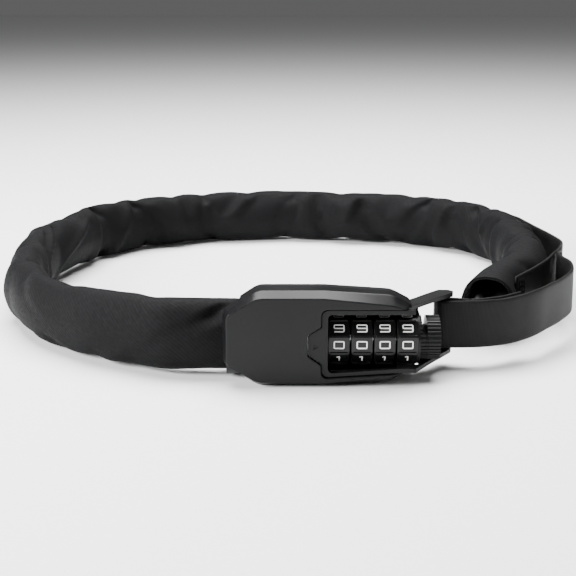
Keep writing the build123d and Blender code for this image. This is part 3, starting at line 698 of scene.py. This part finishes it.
def cloth_modifier(cloth_run, flat, scale):
    """Soft, slightly inflated cloth, held at both ends."""
    pins = cloth_run.vertex_groups.new(name="pins")
    pins.add(list(range(AROUND * START_ROWS)), 1.0, "REPLACE")
    pins.add(list(range(AROUND * (ROWS + 1 - END_ROWS), AROUND * (ROWS + 1))), 1.0, "REPLACE")
    cloth = cloth_run.modifiers.new("cloth", "CLOTH")
    values = {
        "quality": 7, "mass": 0.25, "tension_stiffness": 25, "compression_stiffness": 25,
        "shear_stiffness": 8, "bending_stiffness": BENDING, "tension_damping": 10,
        "compression_damping": 10, "shear_damping": 8, "bending_damping": 1, "air_damping": 2,
        "use_pressure": True, "uniform_pressure_force": PRESSURE, "vertex_group_mass": "pins",
        "rest_shape_key": flat,
    }
    for name, value in values.items():
        setattr(cloth.settings, name, value)
    cloth.settings.effector_weights.gravity = 0.0
    cloth.collision_settings.use_collision = True
    cloth.collision_settings.distance_min = CONTACT * scale
    cloth.point_cache.frame_start = 1
    cloth.point_cache.frame_end = FRAMES


def crumple(rows, length, chain):
    """Cloth simulation: the tube is cut straight and a little long, and settles round the chain."""
    scale = UPSCALE * MM
    points = [[p * scale for p in row] for row in rows]
    cloth_run = new_object("cloth_run", grid_mesh("cloth_run", points))
    cloth_run.shape_key_add(name="Basis")
    flat = straight_cut(cloth_run, length, scale)
    core = chain_core(chain, scale)
    cloth_modifier(cloth_run, flat, scale)
    scene = bpy.context.scene
    for number in range(1, FRAMES + 1):
        scene.frame_set(number)
    settled = cloth_run.evaluated_get(bpy.context.evaluated_depsgraph_get()).data
    result = [v.co / scale for v in settled.vertices]
    scene.frame_set(1)
    for helper in (cloth_run, core):
        bpy.data.objects.remove(helper)
    return [result[i * AROUND:(i + 1) * AROUND] for i in range(ROWS + 1)]


def build_hem(tape, rows):
    """Folded tape inside the mouth, following the cloth."""
    rings = []
    for row in rows[-1 - HEM_ROWS:]:
        centre = sum(row, Vector()) / AROUND
        rings.append([p - (p - centre).normalized() * HEM_INSET for p in row])
    placed = [[at(*p) for p in ring] for ring in rings]
    mesh = grid_mesh("mouth_tape", placed, sizes=(HEM_GIRTH, HEM_ROWS * HEM_ROW_LENGTH))
    piece = new_object("mouth_tape", mesh, tape)
    thicken(piece, TAPE_THICK)
    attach(piece, "lock_body")
    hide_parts("sleeve_hem")


def build_sleeve(cloth, tape):
    chain = Route(rounded(SLEEVE_ROUTE))
    route = straight_between_kinks(chain)
    rows = sleeve_rows(route, chain)
    rows = crumple(rows, route.length, chain)
    placed = [[at(*p) for p in row] for row in rows]
    mesh = grid_mesh("sleeve_cloth", placed, sizes=(SLEEVE_GIRTH, route.length))
    piece = new_object("sleeve_cloth", mesh, cloth)
    thicken(piece, CLOTH_THICK)
    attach(piece, "lock_body")
    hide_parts("sleeve")
    build_hem(tape, rows)


# ---------------------------------------------------------------- strap
# How far the webbing is lifted at distances along it, and how much it waves, in millimetres.
BAND_SHAPE = ([(0, -4.0), (70, -3.0), (130, 0.0)], 0.5)
STRAP_SHAPE = ([(0, 1.2), (60, 0.6), (110, 0.0)], 0.9)
BAR_GAP = 0.2                 # between the webbing and the strap bar
BAR_STEPS = 14                # steps of the half turn round the bar
TACK_SPAN = (2.5, 10.0)       # where a tack lies, from the end of its webbing
TACK_ROWS = 9                 # rows of zigzag in a tack
TACK_MARGIN = 1.75            # from the selvage to the first row
STITCH_STEP = 0.75
THREAD_WIDTH = 0.45
# Section of a thread: share of its half width to the side, and height above the webbing.
THREAD_SECTION = ((-1, -0.1), (-0.6, 0.24), (0, 0.3), (0.6, 0.24), (1, -0.1))
# The waves of the webbing: how fast they change per millimetre, and how far it bows sideways.
LIFT_RATE, BOW_RATE, BOW_RISE, BOW_SHARE = 0.03, 0.045, 0.06, 0.6


def strap_lines():
    """Middle lines of the band, of the strap round the bar, and of its free tail."""
    reach = CROSSBAR[2] + BAR_GAP + STRAP_THICK / 2
    bar = Vector(CROSSBAR[:2])
    leg = rounded(LEG_ROUTE + [(bar.x, bar.y - reach)])
    angles = [pi * i / BAR_STEPS for i in range(1, BAR_STEPS)]
    turn = [bar + reach * Vector((-sin(angle), -cos(angle))) for angle in angles]
    back = rounded([(bar.x, bar.y + reach)] + RETURN_ROUTE)
    return Route(rounded(BAND_ROUTE)), Route(leg + turn + back), Route(rounded(TAIL_ROUTE))


def strap_point(route, d, side, up, tilt, wave):
    """Point of a webbing in millimetres: side is to the right of travel, up is across the webbing."""
    p, ahead = route.point(d), route.heading(d)
    slope = blend_keys(tilt, d) if tilt else 0.0
    lift = wave * noise.noise(Vector((d * LIFT_RATE, 0.3, 7.1))) + slope
    bow = wave * BOW_SHARE * noise.noise(Vector((d * BOW_RATE, up * BOW_RISE, 2.7)))
    q = p + Vector((ahead.y, -ahead.x)) * (side + bow)
    return Vector((q.x, q.y, STRAP_Z + up + lift))


def strap_mesh(name, route, step=2.0, tilt=None, wave=0.0):
    """Flat webbing with rounded selvages, standing on edge along a level route."""
    count = int(route.length / step)
    half, thick = STRAP_WIDTH / 2, STRAP_THICK / 2
    # Place across the webbing, and half the thickness there as a share of its full value.
    profile = [(-half, 0.35), (-half + 0.5, 0.85), (-half + 1.5, 1.0), (-half + 4, 0.9), (0, 0.92),
               (half - 4, 0.9), (half - 1.5, 1.0), (half - 0.5, 0.85), (half, 0.35)]
    section = [(t * thick, z) for z, t in profile] + [(-t * thick, z) for z, t in reversed(profile)]
    rows = []
    for i in range(count + 1):
        d = route.length * i / count
        rows.append([at(*strap_point(route, d, side, up, tilt, wave)) for side, up in section])
    mesh = grid_mesh(name, rows, sizes=(2 * STRAP_WIDTH, route.length))
    edit = bmesh.new()
    edit.from_mesh(mesh)
    edit.verts.ensure_lookup_table()
    ring = len(section)
    edit.faces.new([edit.verts[j] for j in range(ring)][::-1])
    edit.faces.new([edit.verts[count * ring + j] for j in range(ring)])
    bmesh.ops.recalc_face_normals(edit, faces=edit.faces)
    edit.to_mesh(mesh)
    edit.free()
    return mesh


def add_thread(mesh, points):
    """Low rounded ridge of thread along points, each with the direction that faces out."""
    rings = []
    for i, (p, out) in enumerate(points):
        before, after = points[max(i - 1, 0)][0], points[min(i + 1, len(points) - 1)][0]
        side = (after - before).normalized().cross(out) * THREAD_WIDTH / 2
        rings.append([mesh.verts.new((p + side * s + out * r) * MM + LOCK)
                      for s, r in THREAD_SECTION])
    for a, b in zip(rings, rings[1:]):
        for j in range(4):
            mesh.faces.new((a[j], a[j + 1], b[j + 1], b[j]))


def zigzag(mesh, route, span, side, tilt, wave):
    """Rows of zigzag stitches across a tack; side is 1 for the right of travel."""
    gap = (STRAP_WIDTH - 2 * TACK_MARGIN) / TACK_ROWS
    count = int((span[1] - span[0]) / STITCH_STEP)
    for i in range(TACK_ROWS):
        level = -STRAP_WIDTH / 2 + TACK_MARGIN + gap * (i + 0.5)
        points = []
        for j in range(count + 1):
            d = span[0] + (span[1] - span[0]) * j / count
            ahead = route.heading(d)
            out = Vector((ahead.y, -ahead.x, 0)) * side
            swing = gap * 0.42 * (1 if j % 2 else -1)
            face = side * (STRAP_THICK / 2 + 0.05)
            points.append((strap_point(route, d, face, level + swing, tilt, wave), out))
        add_thread(mesh, points)


def build_stitches(thread, band, strap):
    """Tacks at both ends of the band and at the root of the strap, on the side away from the sleeve."""
    mesh = bmesh.new()
    near = TACK_SPAN
    far = (band.length - near[1], band.length - near[0])
    for route, span, tilt, wave in ((band, near, *BAND_SHAPE), (band, far, *BAND_SHAPE),
                                    (strap, near, *STRAP_SHAPE)):
        zigzag(mesh, route, span, -1, tilt, wave)
    data = bpy.data.meshes.new("tack_stitches")
    mesh.to_mesh(data)
    mesh.free()
    piece = new_object("tack_stitches", data, thread)
    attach(piece, "lock_body")
    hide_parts("bar_tacks")


def build_strap(webbing, thread):
    band, strap, tail = strap_lines()
    for name, route, node, (tilt, wave) in (("band_webbing", band, "sleeve_band", BAND_SHAPE),
                                            ("strap_webbing", strap, "webbing_strap", STRAP_SHAPE)):
        piece = new_object(name, strap_mesh(name, route, tilt=tilt, wave=wave), webbing)
        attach(piece, "lock_body")
        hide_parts(node)
    end = new_object("tail_webbing", strap_mesh("tail_webbing", tail), webbing)
    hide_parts("strap_tail")
    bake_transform(end)
    build_stitches(thread, band, strap)


# ---------------------------------------------------------------- setting
FLOOR_HALF = 4.0              # metres
WORLD_STRENGTH = 0.12
LENS, SENSOR = 71.1, 36       # millimetres
CAMERA_PLACE = (0, -475.3, 158.4)
CAMERA_DOWN = 15.74           # degrees below the horizontal


def build_stage():
    """Pale paper floor and a dim white world."""
    floor = bpy.data.meshes.new("floor")
    half, z = FLOOR_HALF, CAD_BOX[0][2]
    floor.from_pydata([(-half, -half, z), (half, -half, z), (half, half, z), (-half, half, z)], [],
                      [(0, 1, 2, 3)])
    paper = Recipe("paper", (0.9, 0.9, 0.9), 0.7)
    grain = paper.scaled(paper.noise(400, 3), 0.3, 0.7, 0, 1)
    paper.use("Base Color", paper.mixed(grain, (0.89, 0.89, 0.89), (0.92, 0.92, 0.92)))
    piece = new_object("floor", floor, paper.material, smooth=False)

    world = bpy.data.worlds.new("studio")
    bpy.context.scene.world = world
    world.use_nodes = True
    background = world.node_tree.nodes["Background"].inputs
    background["Color"].default_value = (1, 1, 1, 1)
    background["Strength"].default_value = WORLD_STRENGTH


def area_light(name, place, target, size, power):
    """Rectangular light turned to a target; size in metres, power in watts."""
    data = bpy.data.lights.new(name, "AREA")
    data.shape = "RECTANGLE"
    data.size, data.size_y = size
    data.energy = power
    light = bpy.data.objects.new(name, data)
    light.location = place
    light.rotation_euler = (Vector(target) - Vector(place)).to_track_quat("-Z", "Y").to_euler()
    bpy.context.scene.collection.objects.link(light)


def build_lights():
    middle = at(0, 120, 0)
    area_light("overhead", at(-60, 330, 900), middle, size=(1.0, 0.7), power=46)
    area_light("left_key", at(-900, -350, 420), middle, size=(0.3, 0.4), power=30)
    area_light("right_fill", at(800, -100, 420), middle, size=(0.6, 0.6), power=0.6)


def build_camera():
    data = bpy.data.cameras.new("camera")
    data.sensor_width = SENSOR
    data.lens = LENS
    data.clip_start = 0.01
    camera = bpy.data.objects.new("camera", data)
    camera.location = at(*CAMERA_PLACE)
    camera.rotation_euler = (radians(90 - CAMERA_DOWN), 0, 0)
    bpy.context.scene.collection.objects.link(camera)
    bpy.context.scene.camera = camera


build_camera()
build_stage()
build_lights()
paint_cad_nodes()
dial_digits(printed_ink("digit_ink", (0.84, 0.84, 0.82)))
tack_thread = pile_cloth("tack_thread", (0.007, 0.007, 0.0075))
sleeve_twill = woven_cloth("sleeve_twill", (0.0030, 0.0030, 0.0034))
build_sleeve(sleeve_twill, pile_cloth("hem_tape", (0.008, 0.008, 0.0085)))
build_strap(webbing_cloth("strap_webbing", (0.0036, 0.0033, 0.0033)), tack_thread)
loop_pile = pile_cloth("loop_pile", (0.010, 0.010, 0.0105))
for patch in ("loop_patch", "hook_patch"):
    paint(patch, loop_pile)
